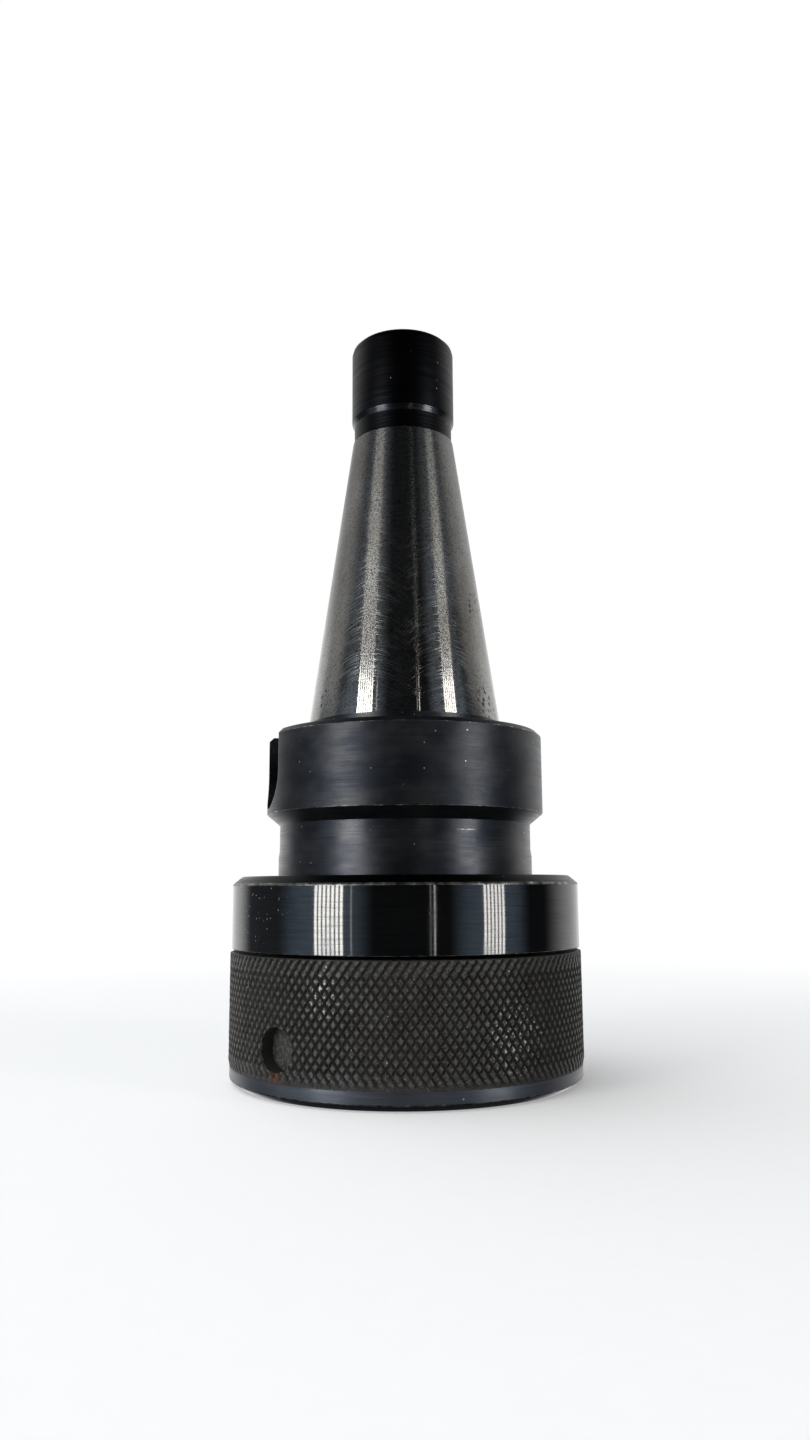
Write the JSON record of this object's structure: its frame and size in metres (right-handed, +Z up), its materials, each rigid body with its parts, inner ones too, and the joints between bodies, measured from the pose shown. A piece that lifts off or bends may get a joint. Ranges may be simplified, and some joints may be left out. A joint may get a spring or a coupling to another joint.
{
  "type": "collet chuck holder",
  "caption": "Milling collet chuck with a steep taper shank, a slotted drive flange, a slotted spring collet and a large diamond-knurled closing nut.",
  "frame": {"origin": "centre of the closing nut's front face, on which the holder stands", "axes": "+Z up along the shank towards the tail, -Y towards the picture's camera"},
  "size_m": [0.0788, 0.0788, 0.1738],
  "materials": {
    "black_oxide_and_ground_steel": "steel body, satin black oxide on the tail, flange and neck, taper ground bright",
    "polished_black_steel": "polished, then blackened: glossy blue-black",
    "knurled_black_steel": "diamond knurl, black oxide, worn brighter at the edges",
    "hardened_spring_steel": "hardened and ground spring steel",
    "bearing_ball_steel": "polished bearing steel",
    "screw_steel": "black alloy steel"
  },
  "bodies": {
    "holder": {"holder_body": "black_oxide_and_ground_steel", "rear_collar": "polished_black_steel", "stop_screw": "screw_steel"},
    "collet_set": {"collet": "hardened_spring_steel", "nose_ring": "hardened_spring_steel"},
    "closing_nut": {"closing_nut": "knurled_black_steel", "filler_plug": "screw_steel"},
    "ball_row": {"ball_01": "bearing_ball_steel", "ball_02": "bearing_ball_steel", "ball_03": "bearing_ball_steel", "ball_04": "bearing_ball_steel", "ball_05": "bearing_ball_steel", "ball_06": "bearing_ball_steel", "ball_07": "bearing_ball_steel", "ball_08": "bearing_ball_steel", "ball_09": "bearing_ball_steel", "ball_10": "bearing_ball_steel", "ball_11": "bearing_ball_steel", "ball_12": "bearing_ball_steel", "ball_13": "bearing_ball_steel", "ball_14": "bearing_ball_steel", "ball_15": "bearing_ball_steel", "ball_16": "bearing_ball_steel", "ball_17": "bearing_ball_steel", "ball_18": "bearing_ball_steel", "ball_19": "bearing_ball_steel", "ball_20": "bearing_ball_steel", "ball_21": "bearing_ball_steel", "ball_22": "bearing_ball_steel", "ball_23": "bearing_ball_steel", "ball_24": "bearing_ball_steel", "ball_25": "bearing_ball_steel", "ball_26": "bearing_ball_steel", "ball_27": "bearing_ball_steel", "ball_28": "bearing_ball_steel", "ball_29": "bearing_ball_steel", "ball_30": "bearing_ball_steel", "ball_31": "bearing_ball_steel", "ball_32": "bearing_ball_steel"}
  },
  "joints": [
    {"name": "nut_travel", "type": "slide", "parent": "holder", "child": "collet_set", "axis": [0, 0, -1], "range_m": [0, 0.0106]},
    {"name": "nut_turn", "type": "hinge", "parent": "collet_set", "child": "closing_nut", "pos_m": [0, 0, 0], "axis": [0, 0, -1], "range_deg": [0, 1800]},
    {"name": "ball_orbit", "type": "hinge", "parent": "collet_set", "child": "ball_row", "pos_m": [0, 0, 0.0102], "axis": [0, 0, -1], "range_deg": [0, 900]}
  ],
  "couplings": [
    {"joint": "nut_travel", "follows": "nut_turn", "m_per_rad": 0.00033688},
    {"joint": "ball_orbit", "follows": "nut_turn", "ratio": 0.5}
  ]
}
